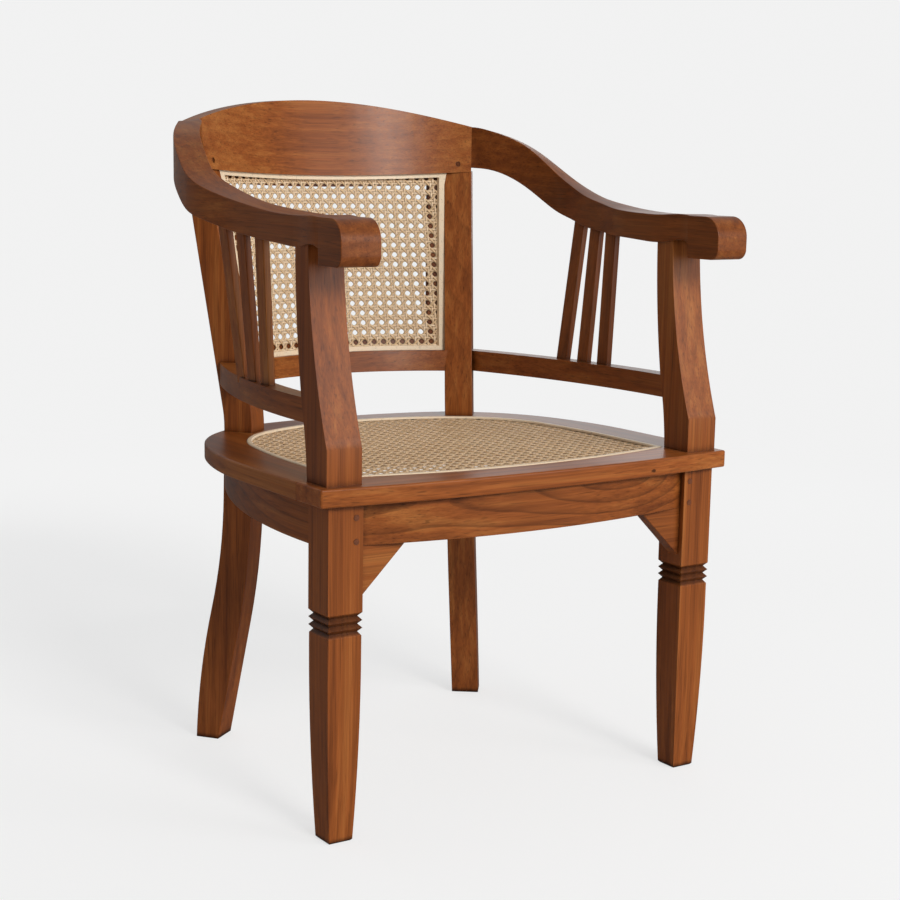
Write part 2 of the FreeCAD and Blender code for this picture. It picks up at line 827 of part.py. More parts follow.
def seat_ring():
    slab = raised("seat_slab", seat_outline(), seat_under, s.seat_thickness)
    opening = opening_outline()
    lip = inset("seat_lip_line", opening, s.cane_lip)
    band = inset("seat_bead_band", opening, s.spline_width, band=True)
    floor = s.seat_height - s.cane_rebate
    hole = raised("seat_hole", lip, seat_under - s.overrun, s.seat_thickness + s.overrun * 2)
    rebate = raised("seat_rebate", opening, floor, s.cane_rebate + s.overrun)
    ring = cut("seat_ring", slab, hole, rebate)
    cane = raised("seat_cane_sheet", opening, floor, s.cane_thickness)
    front = s.seat_joint_y - s.opening_front_bow
    back = s.opening_corner_y + s.opening_back_bow
    centre = (0, (front + back) / 2, floor + s.cane_thickness / 2)
    bars = crossing_bars("seat_cane_bar", centre, 1, SEAT_CANE_BARS, s.seat_cane_step, s.seat_cane_bar)
    keep("seat_cane", cut("seat_cane_openwork", cane, cut("seat_cane_openings", hole, bars)))
    keep("seat_spline", raised("seat_bead", band, floor + s.cane_thickness, s.spline_height))
    return ring


def seat_rails(ring, front_leg_tenons, rear_legs, tenons):
    """The four pieces of the ring, joined on a line behind the posts and at the rear legs."""
    far = s.crest_height
    low = seat_under - s.overrun
    tall = s.seat_thickness + s.overrun * 2
    front_box = box("seat_front_part", (-far, -far, low), (far * 2, far + s.seat_joint_y, tall))
    back_box = turned_box(
        "seat_back_part",
        (rear_leg_x, s.rear_leg_y),
        -s.rear_leg_turn_angle,
        ((-far, 0), (-far, far)),
        low,
        tall,
    )
    right_box = box("seat_right_part", (0, -far, low), (far, far * 3, tall))
    back_left = mirror(back_box)
    front = common("seat_front_blank", ring, front_box)
    back = common("seat_back_blank", ring, back_box, back_left)
    right = common("seat_right_blank", cut("seat_behind_joint", ring, front_box, back_box), right_box)
    keep("seat_front_rail", cut("seat_front_rail", front, *front_leg_tenons, *tenons["all"]))
    keep("seat_back_rail", cut("seat_back_rail", back, *rear_legs, *tenons["all"]))
    keep_pair("seat_side_rail", cut("seat_side_rail", right, rear_legs[0], *tenons["right"]))


def seat_tenons():
    """Loose tenons in the joints between the front rail and the side rails of the seat."""
    middle = (s.seat_half_width + opening_half_width) / 2
    half = s.tenon_length
    bottom = seat_under + s.seat_thickness / 2 - s.tenon_thickness / 2
    right = box(
        "seat_tenon",
        (middle - half / 2, s.seat_joint_y - half, bottom),
        (half, half * 2, s.tenon_thickness),
    )
    left = mirror(right)
    keep("seat_tenons", right, left)
    return {"all": [right, left], "right": [right]}


# Aprons and middle rails


def bowed_rail(name, start, end, end_thickness, inner_end, bottom, height, thickness, bow):
    """A rail that is bowed in plan, from its front end to the side of the rear leg."""
    run = (end[0] - start[0], end[1] - start[1])
    chord = place(f"{name}_chord", root(run[0] * run[0] + run[1] * run[1]))
    radius = place(f"{name}_radius", bow_radius(chord, bow))
    sketch = outline(f"{name}_outline", [
        start,
        (end[0], end[1], radius),
        end_thickness,
        inner_end,
        (start[0] - thickness, start[1], -(radius - thickness)),
    ])
    return extrude(name, lay_flat(sketch, bottom), height)


def leg_tongue(name, out_from, out_to, face, bottom, height):
    """A tenon into one side of the rear leg. The face is +1 towards the front leg, -1 behind."""
    middle = (out_from + out_to) / 2
    half = s.tenon_thickness / 2
    lean = (bottom + height / 2 - s.seat_height) * tangent(s.rear_leg_tilt_angle)
    outer = rear_half + s.tenon_root
    inner = rear_half - s.tenon_length
    reach = (lean - outer, lean - inner) if face > 0 else (lean + inner, lean + outer)
    return turned_box(
        name,
        (rear_leg_x, s.rear_leg_y),
        s.right_angle - s.rear_leg_turn_angle,
        ((middle - half, middle + half), reach),
        bottom + s.tenon_shoulder,
        height - s.tenon_shoulder * 2,
    )


def side_apron(leg, rear):
    height = apron_bottom + s.apron_height / 2
    outer = s.rear_leg_depth / 2 - s.corner_set
    inner = outer - s.apron_thickness * APRON_END_SHARE
    blank = bowed_rail(
        "side_apron_blank",
        (leg_out - s.side_apron_set, s.leg_side - s.tenon_length),
        beside_rear_leg(outer, rear_half, height),
        beside_rear_leg((outer + inner) / 2, 0, height),
        beside_rear_leg(inner, rear_half, height),
        apron_bottom,
        s.apron_height,
        s.apron_thickness,
        s.side_apron_bow,
    )
    front_tenon = box(
        "side_apron_front_tenon",
        (
            leg_out - s.side_apron_set - s.apron_thickness / 2 - s.tenon_thickness / 2,
            s.leg_side - s.tenon_length,
            apron_bottom + s.tenon_shoulder,
        ),
        (s.tenon_thickness, s.tenon_length + s.tenon_root, s.apron_height - s.tenon_shoulder * 2),
    )
    rear_tenon = leg_tongue("side_apron_rear_tenon", inner, outer, 1, apron_bottom, s.apron_height)
    apron = fuse("side_apron", cut("side_apron_trimmed", blank, leg, rear), front_tenon, rear_tenon)
    keep_pair("side_apron", apron)
    return front_tenon, rear_tenon


def side_rail(post, rear):
    """The bowed middle rail. Its outer face ends just inside the back corner of the rear leg."""
    height = rail_bottom + s.rail_height / 2
    outer = rear_leg_back_at(rail_bottom) - s.corner_set
    inner = outer - s.rail_thickness * APRON_END_SHARE
    start = (side_rail_front_x, s.side_rail_start_y)
    end = beside_rear_leg(outer, rear_half, height)
    blank = bowed_rail(
        "side_rail_blank",
        start,
        end,
        beside_rear_leg((outer + inner) / 2, 0, height),
        beside_rear_leg(inner, rear_half, height),
        rail_bottom,
        s.rail_height,
        s.rail_thickness,
        s.side_rail_bow,
    )
    front_tenon = box(
        "side_rail_front_tenon",
        (
            side_rail_front_x - s.rail_thickness / 2 - s.tenon_thickness / 2,
            s.side_rail_start_y + s.tenon_root,
            rail_bottom + s.tenon_shoulder,
        ),
        (s.tenon_thickness, s.post_foot_depth - s.side_rail_start_y + s.tenon_length,
         s.rail_height - s.tenon_shoulder * 2),
    )
    rear_tenon = leg_tongue("side_rail_rear_tenon", inner, outer, 1, rail_bottom, s.rail_height)
    rail = fuse("side_rail_solid", cut("side_rail_trimmed", blank, post, rear), front_tenon, rear_tenon)
    return rail, front_tenon, rear_tenon


def side_rail_middle_x(y):
    """The middle of the side rail in plan, at this distance behind the front of the chair."""
    height = rail_bottom + s.rail_height / 2
    outer = rear_leg_back_at(rail_bottom) - s.corner_set
    start = (side_rail_front_x, s.side_rail_start_y)
    end = beside_rear_leg(outer, rear_half, height)
    run = (end[0] - start[0], end[1] - start[1])
    chord = root(run[0] * run[0] + run[1] * run[1])
    radius = bow_radius(chord, s.side_rail_bow)
    reach = root(radius * radius - chord * chord / 4)
    centre_x = (start[0] + end[0]) / 2 - run[1] / chord * reach
    centre_y = (start[1] + end[1]) / 2 + run[0] / chord * reach
    middle = radius - s.rail_thickness / 2
    return centre_x + root(middle * middle - (y - centre_y) * (y - centre_y))


def slat(index):
    """A thin slat, housed in the middle rail and in the arm, and leaning outwards."""
    y = s.slat_first_y + s.slat_pitch * index
    outset = s.slat_outset + s.slat_foot_spread * index
    foot_x = place(f"slat_{index + 1}_foot_x", side_rail_middle_x(y) + outset)
    lean = (s.slat_lean + s.slat_spread * index) / (arm_under - rail_top)
    half = s.slat_thickness / 2
    low = rail_top - s.slat_stub
    high = arm_under + s.slat_stub * (index + 2)
    low_x = foot_x - lean * s.slat_stub
    high_x = foot_x + lean * (high - rail_top)
    sketch = outline(f"slat_{index + 1}_outline", [
        (low_x - half, low),
        (low_x + half, low),
        (high_x + half, high),
        (high_x - half, high),
    ])
    stand_up(sketch, 0, y, 0)
    return extrude(f"slat_{index + 1}", sketch, s.slat_width, both_ways=True)


def front_apron(leg):
    face = s.front_apron_set
    back = face + s.apron_thickness
    radius = place("front_apron_radius", bow_radius(leg_in * 2, s.front_apron_bow))
    sketch = outline("front_apron_outline", [
        (-leg_in, face),
        (leg_in, face, radius),
        (leg_in, back),
        (-leg_in, back, -(radius - s.apron_thickness)),
    ])
    blank = extrude("front_apron_blank", lay_flat(sketch, apron_bottom), s.apron_height)
    tenon = box(
        "front_apron_tenon",
        (
            leg_in - s.tenon_root,
            face + s.apron_thickness / 2 - s.tenon_thickness / 2,
            apron_bottom + s.tenon_shoulder,
        ),
        (s.tenon_root + s.tenon_length, s.tenon_thickness, s.apron_height - s.tenon_shoulder * 2),
    )
    return fuse("front_apron_solid", blank, tenon, mirror(tenon)), tenon


def front_bracket():
    sketch = outline("front_bracket_outline", [
        (leg_in, apron_bottom),
        (leg_in - s.bracket_length, apron_bottom),
        (leg_in, apron_bottom - s.bracket_drop),
    ])
    stand_up(sketch, 0, s.bracket_set + s.bracket_thickness / 2, 0)
    keep_pair("front_bracket", extrude("front_bracket", sketch, s.bracket_thickness, both_ways=True))


def back_apron(rears):
    seat_back_radius = place("seat_back_arc", bow_radius(seat_corner_x * 2, s.seat_back_bow))
    outer = seat_back_radius - s.back_apron_set
    centre_y = s.seat_corner_y + s.seat_back_bow - seat_back_radius
    half_angle = arc_sine(rear_leg_x / (outer - s.apron_thickness))
    sketch = outline("back_apron_section", [
        (outer - s.apron_thickness, apron_bottom),
        (outer, apron_bottom),
        (outer, seat_under),
        (outer - s.apron_thickness, seat_under),
    ])
    stand_up(sketch, 0, centre_y, s.right_angle)
    blank = revolve("back_apron_blank", sketch, centre_y, half_angle)
    middle = -s.rear_leg_depth / 2 + s.apron_thickness
    tenon = leg_tongue("back_apron_tenon", middle, middle, -1, apron_bottom, s.apron_height)
    apron = fuse("back_apron_solid", cut("back_apron_trimmed", blank, *rears), tenon, mirror(tenon))
    keep("back_apron", apron)
    return tenon


# Back


def back_edge_angle(height):
    """How far round the cone of the back the middle of the rear leg is, at this height."""
    middle = (rear_leg_front_at(height) + rear_leg_back_at(height)) / 2
    return arc_sine(beside_rear_leg(middle, 0, height)[0] / back_radius(height, s.back_cane_set))


def cone_band(name, bottom, top, behind, thickness, half_angle):
    """A leaning, bowed band of the back, between two heights."""
    sketch = outline(f"{name}_section", [
        (back_radius(bottom, behind), bottom),
        (back_radius(bottom, behind + thickness), bottom),
        (back_radius(top, behind + thickness), top),
        (back_radius(top, behind), top),
    ])
    stand_up(sketch, 0, back_axis_y, s.right_angle)
    return revolve(name, sketch, back_axis_y, half_angle)


def crest():
    low = crest_bottom - s.overrun
    band = cone_band("crest_band", low, s.crest_height + s.overrun, 0, s.crest_thickness, crest_end_angle)
    width = leg_out
    sketch = outline("crest_face", [
        (-width, crest_bottom_at(width)),
        (width, crest_bottom_at(width), s.crest_bottom_radius),
        (width, crest_top_at(width)),
        (-width, crest_top_at(width), s.crest_top_radius),
    ])
    stand_up(sketch, 0, back_axis_y + crest_front_radius, 0)
    face = extrude("crest_prism", sketch, crest_front_radius * 2, both_ways=True)
    return common("crest_solid", band, face)


def back_lower_rail(rears):
    behind = s.back_cane_set - s.rail_thickness / 2
    half_angle = place("back_rail_angle", back_edge_angle(rail_top))
    blank = cone_band("back_rail_blank", rail_bottom, rail_top, behind, s.rail_thickness, half_angle)
    middle = (rear_leg_front_at(rail_bottom) + rear_leg_back_at(rail_bottom)) / 2
    tenon = leg_tongue("back_rail_tenon", middle, middle, -1, rail_bottom, s.rail_height)
    rail = fuse("back_rail_solid", cut("back_rail_trimmed", blank, *rears), tenon, mirror(tenon))
    keep("back_lower_rail", rail)
    return blank, tenon


def back_window(name, inset):
    """A prism through the back, this far inside the crest, the lower rail and the rear legs."""
    bottom = rail_top + inset
    low_edge = beside_rear_leg(0, -rear_half, bottom)[0] - inset
    middle_top = crest_bottom - inset
    high_edge = beside_rear_leg(rear_leg_front_at(middle_top), -rear_half, middle_top)[0] - inset
    edge_top = crest_bottom_at(high_edge) - inset
    window = outline(name, [
        (-low_edge, bottom),
        (low_edge, bottom),
        (high_edge, edge_top),
        (-high_edge, edge_top, -s.crest_bottom_radius),
    ])
    stand_up(window, 0, back_axis_y + crest_front_radius, 0)
    return extrude(f"{name}_hole", window, crest_front_radius * 2, both_ways=True)


def back_cane(rail, rears, crest_solid):
    """The woven sheet of the back, the bead round its edge, and the ledge behind that edge."""

    low = rail_top - s.overrun
    high = crest_end_bottom + s.overrun
    half_angle = place("back_cane_angle", back_edge_angle((low + high) / 2))

    def layer(name, front, thickness):
        blank = cone_band(f"{name}_blank", low, high, front, thickness, half_angle)
        return cut(f"{name}_trimmed", blank, rail, *rears, crest_solid)

    sheet = layer("back_cane", s.back_cane_set, s.cane_thickness)
    bead = layer("back_bead", s.back_cane_set - s.back_spline_height, s.back_spline_height)
    ledge = layer("back_ledge", s.back_cane_set + s.cane_thickness, s.back_ledge_thickness)
    inner = back_window("back_ledge_window", s.back_ledge_width)
    centre = (0, back_axis_y + crest_front_radius, (rail_top + crest_bottom) / 2)
    bars = crossing_bars("back_cane_bar", centre, 2, BACK_CANE_BARS, s.back_cane_step, s.back_cane_bar)
    keep("back_cane", cut("back_cane_openwork", sheet, cut("back_cane_openings", inner, bars)))
    keep("back_spline", cut("back_bead", bead, back_window("back_bead_window", s.back_spline_width)))
    keep("back_ledge", cut("back_ledge", ledge, inner))


# Arm posts


def arm_post():
    """Raked and bowed in side view. Its foot is upright and its top stands under the arm."""
    foot = s.seat_height
    top = arm_under + s.overrun
    front_chord = root(post_rake * post_rake + (arm_under - post_kink) * (arm_under - post_kink))
    waist = foot + s.post_waist_height
    back_top = post_rake + s.post_top_depth
    low_step = s.post_waist_back - s.post_foot_depth
    low_chord = root(low_step * low_step + s.post_waist_height * s.post_waist_height)
    high_step = back_top - s.post_waist_back
    high_chord = root(high_step * high_step + (arm_under - waist) * (arm_under - waist))
    sketch = outline("arm_post_outline", [
        (0, foot),
        (s.post_foot_depth, foot),
        (s.post_waist_back, waist, -bow_radius(low_chord, s.post_hollow)),
        (back_top, arm_under, bow_radius(high_chord, s.post_back_bow)),
        (back_top, top),
        (post_rake, top),
        (post_rake, arm_under),
        (0, post_kink, -bow_radius(front_chord, s.post_front_bow)),
    ])
    stand_up(sketch, post_x, 0, s.right_angle)
    return extrude("arm_post_blank", sketch, s.post_width, both_ways=True)


def post_tenon():
    half = s.leg_tenon_side / 2
    return box(
        "post_tenon",
        (post_x - half, post_top_y - half / 2, arm_under - s.overrun),
        (s.leg_tenon_side, half, s.overrun + s.leg_tenon_rise),
    )


# Pegs and dowels


def leg_pegs():
    """Two pegs on the front face of each front leg, through the tenon of the front apron."""
    pegs = []
    holes = []
    for index in range(2):
        height = seat_under - s.peg_top_drop - s.peg_pitch * index
        spot = (leg_in + s.peg_inset, -s.peg_proud, height)
        pegs.append(upright_rod(f"leg_peg_{index + 1}", spot, s.peg_diameter, s.peg_length))
        hole_spot = (leg_in + s.peg_inset, -s.overrun, height)
        holes.append(upright_rod(
            f"leg_peg_hole_{index + 1}", hole_spot, s.peg_diameter + s.peg_gap * 2,
            s.peg_length - s.peg_proud + s.overrun,
        ))
    keep("leg_pegs", *pegs, *[mirror(peg) for peg in pegs])
    return holes


def upright_rod(name, spot, diameter, length):
    """A round rod that starts at the spot and runs straight back."""
    piece = document.addObject("Part::Cylinder", name)
    bind(piece, {"Radius": diameter / 2, "Height": length})
    start = "; ".join(text(item) for item in spot)
    piece.setExpression("Placement", f"placement(vector({start}); rotation(0; 0; -90))")
    return piece


def crest_pegs():
    """One peg at each end of the crest, through the tenon of the rear leg."""
    height = rear_leg_top + s.crest_peg_rise
    lean = (rear_leg_top - s.seat_height) * tangent(s.rear_leg_tilt_angle)
    middle = beside_rear_leg(0, 0, rear_leg_top)
    turn = s.right_angle - s.rear_leg_turn_angle
    face = rear_leg_front_at(height) - s.peg_proud
    spot = (middle[0] + along[0] * face, middle[1] + along[1] * face, height)
    peg = rod("crest_peg", spot, turn, s.peg_diameter, s.peg_length)
    start = (spot[0] - along[0] * s.overrun, spot[1] - along[1] * s.overrun, height)
    hole = rod("crest_peg_hole", start, turn, s.peg_diameter + s.peg_gap * 2, s.peg_length + s.overrun)
    keep("crest_pegs", peg, mirror(peg))
    return hole


def crest_dowels():
    """Two dowels that join each arm to the crest, square to the joint."""
    dowels = []
    holes = []
    middle_z = (crest_end_top + crest_end_under) / 2 + s.dowel_rise
    turn = -crest_end_angle
    for index in (-1, 1):
        height = middle_z + s.dowel_spacing / 2 * index
        radius = back_radius(height, s.crest_thickness / 2)
        half = s.dowel_length / 2
        x = radius * sine(crest_end_angle) - half * cosine(crest_end_angle)
        y = back_axis_y + radius * cosine(crest_end_angle) + half * sine(crest_end_angle)
        name = "low" if index < 0 else "high"
        dowels.append(rod(f"crest_dowel_{name}", (x, y, height), turn, s.dowel_diameter, s.dowel_length))
        wide = s.dowel_diameter + s.peg_gap * 2
        holes.append(rod(f"crest_dowel_hole_{name}", (x, y, height), turn, wide, s.dowel_length))
    keep("crest_arm_dowels", *dowels, *[mirror(dowel) for dowel in dowels])
    return holes


# The chair, put together


arm_solid = arm()
leg_solid = front_leg()
rear_shaft = rear_leg()
rear_pair = [rear_shaft, mirror(rear_shaft)]
post_blank = arm_post()
crest_solid = crest()
peg_holes = leg_pegs()
crest_peg_hole = crest_pegs()
dowel_holes = crest_dowels()

apron_front_tenon, apron_rear_tenon = side_apron(leg_solid, rear_shaft)
rail_solid, rail_front_tenon, rail_rear_tenon = side_rail(post_blank, rear_shaft)
back_apron_tenon = back_apron(rear_pair)
back_rail_blank, back_rail_tenon = back_lower_rail(rear_pair)
front_apron_solid, front_apron_tenon = front_apron(leg_solid)
front_bracket()

slats = [slat(index) for index in range(SLATS)]
keep_pair("side_rail", cut("side_rail", rail_solid, *slats))
for slat_index, one_slat in enumerate(slats, start=1):
    keep_pair("arm_slat", one_slat, end=f"_{slat_index}")

leg = cut("front_leg", leg_solid, apron_front_tenon, front_apron_tenon, *peg_holes)
keep_pair("front_leg", leg)
left_peg_holes = [mirror(hole) for hole in peg_holes]
keep("front_apron", cut("front_apron", front_apron_solid, *peg_holes, *left_peg_holes))

rear_tenon = rear_leg_tenon()
rear_full = fuse("rear_leg_full", rear_shaft, rear_tenon)
rear_mortises = [apron_rear_tenon, rail_rear_tenon, back_apron_tenon, back_rail_tenon]
keep_pair("rear_leg", cut("rear_leg", rear_full, *rear_mortises, crest_peg_hole))

ring_tenons = seat_tenons()
seat_rails(seat_ring(), [leg_solid, mirror(leg_solid)], rear_pair, ring_tenons)

arm_tenon = post_tenon()
post_trimmed = cut("arm_post_trimmed", post_blank, arm_solid)
post_full = fuse("arm_post_full", post_trimmed, arm_tenon)
keep_pair("arm_post", cut("arm_post", post_full, leg_solid, rail_front_tenon))
keep_pair("arm", cut("arm", arm_solid, arm_tenon, *slats, *dowel_holes))

back_cane(back_rail_blank, rear_pair, crest_solid)
rear_full_pair = [rear_full, mirror(rear_full)]
crest_holes = [crest_peg_hole, *dowel_holes]
crest_cutters = [*rear_full_pair, *crest_holes, *[mirror(hole) for hole in crest_holes]]
keep("crest_rail", cut("crest_rail", crest_solid, *crest_cutters))

document.recompute()

# Every object has to be sound before anything is written

for item in document.Objects:
    if {"Invalid", "Error"} & set(item.State):
        raise SystemExit(f"{item.Name} failed: {item.State} {item.getStatusString()}")
for label, node in nodes.items():
    if node.Shape.isNull() or not node.Shape.isValid() or not node.Shape.Solids:
        raise SystemExit(f"{label} has no sound solid")

os.makedirs("parts", exist_ok=True)
for label, node in nodes.items():
    node.Shape.exportStep(f"parts/{label}.step")
    box_of = node.Shape.BoundBox
    spans = [f"{low:.1f} to {high:.1f}" for low, high in (
        (box_of.XMin, box_of.XMax), (box_of.YMin, box_of.YMax), (box_of.ZMin, box_of.ZMax))]
    print(f"{label}: {len(node.Shape.Solids)} solid, {node.Shape.Volume:.0f} mm3, {', '.join(spans)}")
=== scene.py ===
"""Looks for a cane-seated wooden armchair with a bowed back, in metres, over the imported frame."""
import math
import random

import bmesh
import bpy
from mathutils import Matrix, Vector
from mathutils.bvhtree import BVHTree


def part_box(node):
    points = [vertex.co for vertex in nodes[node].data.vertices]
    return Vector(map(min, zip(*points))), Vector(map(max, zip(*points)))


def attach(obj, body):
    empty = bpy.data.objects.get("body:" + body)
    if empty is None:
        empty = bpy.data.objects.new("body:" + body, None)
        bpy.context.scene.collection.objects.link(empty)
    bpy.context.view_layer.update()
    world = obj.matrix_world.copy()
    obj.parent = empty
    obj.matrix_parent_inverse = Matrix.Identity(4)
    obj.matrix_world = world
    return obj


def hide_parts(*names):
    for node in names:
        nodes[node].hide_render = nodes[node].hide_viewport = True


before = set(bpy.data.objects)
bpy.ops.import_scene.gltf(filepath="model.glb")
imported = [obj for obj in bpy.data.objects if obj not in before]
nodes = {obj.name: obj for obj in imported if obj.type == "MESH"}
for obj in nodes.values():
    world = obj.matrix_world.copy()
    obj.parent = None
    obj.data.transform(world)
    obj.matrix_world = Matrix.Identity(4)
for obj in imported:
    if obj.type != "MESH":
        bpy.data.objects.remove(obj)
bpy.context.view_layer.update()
scene = bpy.context.scene
MM = 0.001


def link(obj):
    scene.collection.objects.link(obj)
    return obj


# Camera, fitted to the photograph

CAMERA_PLACE = (-1.2731, -1.9959, 0.7974)
CAMERA_YAW = math.radians(33.98)
CAMERA_PITCH = math.radians(10.28)
CAMERA_ROLL = math.radians(-1.09)
CAMERA_SENSOR = 36
CAMERA_LENS = 71.816
CAMERA_SHIFT = (-0.01033, 0.03533)
CAMERA_REACH = 100


def make_camera():
    data = bpy.data.cameras.new("camera")
    data.sensor_fit = "HORIZONTAL"
    data.sensor_width = CAMERA_SENSOR
    data.lens = CAMERA_LENS
    data.shift_x, data.shift_y = CAMERA_SHIFT
    data.clip_end = CAMERA_REACH
    level = math.cos(CAMERA_PITCH)
    ahead = Vector((
        math.sin(CAMERA_YAW) * level, math.cos(CAMERA_YAW) * level, -math.sin(CAMERA_PITCH),
    ))
    flat = Vector((math.cos(CAMERA_YAW), -math.sin(CAMERA_YAW), 0))
    low = ahead.cross(flat)
    across = flat * math.cos(CAMERA_ROLL) + low * math.sin(CAMERA_ROLL)
    down = low * math.cos(CAMERA_ROLL) - flat * math.sin(CAMERA_ROLL)
    turn = Matrix((across, -down, -ahead)).transposed()
    camera = link(bpy.data.objects.new("camera", data))
    camera.matrix_world = Matrix.Translation(CAMERA_PLACE) @ turn.to_4x4()
    scene.camera = camera


make_camera()


# Materials


class Tree:
    """A node tree, emptied, and a short way to add nodes to it."""

    def __init__(self, owner):
        owner.use_nodes = True
        self.tree = owner.node_tree
        self.tree.nodes.clear()

    def add(self, kind, sockets=None, **settings):
        node = self.tree.nodes.new("ShaderNode" + kind)
        for key, value in settings.items():
            setattr(node, key, value)
        for key, value in (sockets or {}).items():
            if isinstance(value, bpy.types.NodeSocket):
                self.tree.links.new(value, node.inputs[key])
            else:
                node.inputs[key].default_value = value
        return node

    def calc(self, operation, a, b=0.0, c=0.0):
        return self.add("Math", {0: a, 1: b, 2: c}, operation=operation).outputs[0]

    def map(self, value, from_min, from_max, to_min=0, to_max=1, kind="LINEAR"):
        sockets = {
            "Value": value, "From Min": from_min, "From Max": from_max,
            "To Min": to_min, "To Max": to_max,
        }
        return self.add("MapRange", sockets, interpolation_type=kind).outputs[0]


class Shader(Tree):
    """One material."""

    def __init__(self, name):
        self.material = bpy.data.materials.new(name)
        super().__init__(self.material)
        self.where = self.add("TexCoord").outputs["Object"]

    def ramp(self, factor, stops):
        """A colour ramp. Each stop is a place and a colour, or a place and a grey level."""
        node = self.add("ValToRGB", {0: factor})
        elements = node.color_ramp.elements
        while len(elements) < len(stops):
            elements.new(1)
        for element, (place, colour) in zip(elements, stops):
            element.position = place
            if isinstance(colour, (int, float)):
                colour = (colour,) * 3
            element.color = (*colour, 1)
        return node.outputs[0]

    def multiply(self, share, a, b):
        node = self.add("Mix", {0: share, 6: a, 7: b}, data_type="RGBA", blend_type="MULTIPLY")
        return node.outputs[2]

    def shade(self, colour, share, factor, stops):
        return self.multiply(share, colour, self.ramp(factor, stops))

    def blend(self, a, b, share):
        return self.calc("MULTIPLY_ADD", a, share, self.calc("MULTIPLY", b, 1 - share))

    def noise(self, vector, scale, detail, rough=0.5):
        sockets = {"Vector": vector, "Scale": scale, "Detail": detail, "Roughness": rough}
        return self.add("TexNoise", sockets).outputs[0]

    def place(self, scale, turn=(0, 0, 0), move=(0, 0, 0)):
        sockets = {"Vector": self.where, "Scale": scale, "Rotation": turn, "Location": move}
        return self.add("Mapping", sockets).outputs[0]

    def finish(self, colour, gloss, specular, height, bump, depth):
        """A surface with its relief. gloss is its roughness."""
        relief = self.add("Bump", {"Strength": bump, "Distance": depth, "Height": height})
        return self.done(self.add("BsdfPrincipled", {
            "Base Color": colour, "Roughness": gloss, "Normal": relief.outputs[0],
            "Specular IOR Level": specular,
        }))

    def done(self, shader):
        self.add("OutputMaterial", {0: shader.outputs[0]})
        return self.material


# Wood

AXES = "XYZ"
WOOD_DARK = (0.105, 0.024, 0.0055)
WOOD_MID = (0.246, 0.068, 0.0135)
WOOD_LIGHT = (0.390, 0.146, 0.036)
WOOD_STOPS = ((0.29, WOOD_DARK), (0.50, WOOD_MID), (0.72, WOOD_LIGHT))
TONE_TINT = (1, 0.985, 0.95)
# Patterns of the grain: the share of their scale that is left along the grain, then scale,
# detail and roughness.
STREAKS = (0.018, 90, 3, 0.65)
PATCHES = (0.12, 7, 2, 0.5)
FIBRES = (0.010, 650, 2, 0.6)
PORES = (0.016, 560, 1, 0.5)
PATCH_SHARE = 0.5
FIBRE_SHARE, FIBRE_STOPS = 0.7, ((0.30, 0.74), (0.66, 1.18))
PORE_SHARE, PORE_STOPS = 0.6, ((0.29, 0.40), (0.37, 1.0))
# Growth rings
RINGS = {
    "Scale": 24, "Distortion": 4.0, "Detail": 1.5, "Detail Scale": 0.7, "Detail Roughness": 0.45,
}
RING_STOPS = ((0.0, 1.12), (0.5, 1.0), (0.8, 0.80), (0.93, 0.46), (1.0, 0.75))
RING_TILT = 0.1
RING_SHIFT = 0.12
RING_PHASE = 6
RING_STRETCH = 0.16
CATHEDRAL_STRETCH = 0.35
# Marks, a darker bottom, and painted shade. A knot is its place and its radius.
KNOTS = {"seat_front_rail": ((0.1696, -0.2919, 0.4134), 0.0075)}
KNOT_FLAT = (1, 1, 1.8)
KNOT_NOISE = (240, 1)
KNOT_WOBBLE = 0.8
KNOT_SHARE, KNOT_STOPS = 0.9, ((0.75, 0.16), (1.0, 1.0))
# Painted shade: the band of the front legs' grooves, between these heights, is darkened
GROOVES = (0.2507, 0.2784)
GROOVED = ("front_leg_left", "front_leg_right")
GROOVE_SHADE_STOPS = ((0.84, 0.46), (1.0, 1.0))
# Every board is darker in its lowest few millimetres, which only the feet reach
FOOT_DARK_RISE = 0.009
FOOT_WANDER = 0.004
FOOT_STOPS = ((0.35, 0.30), (1.0, 1.0))
# Painted shade: ambient occlusion darkens the wood in crevices, joints and hollows
CREVICE_SHADE_REACH = 0.011
CREVICE_SHADE_SAMPLES = 6
CREVICE_SHADE_SHARE, CREVICE_SHADE_STOPS = 0.85, ((0.28, 0.16), (0.86, 1.0))
# Satin finish
PORE_DEPTH_SHARE = 0.6
WOOD_BUMP, WOOD_DEPTH = 0.16, 0.0004
WOOD_GLOSS, WOOD_GLOSS_SPREAD = 0.27, 0.12
WOOD_SPECULAR = 0.25


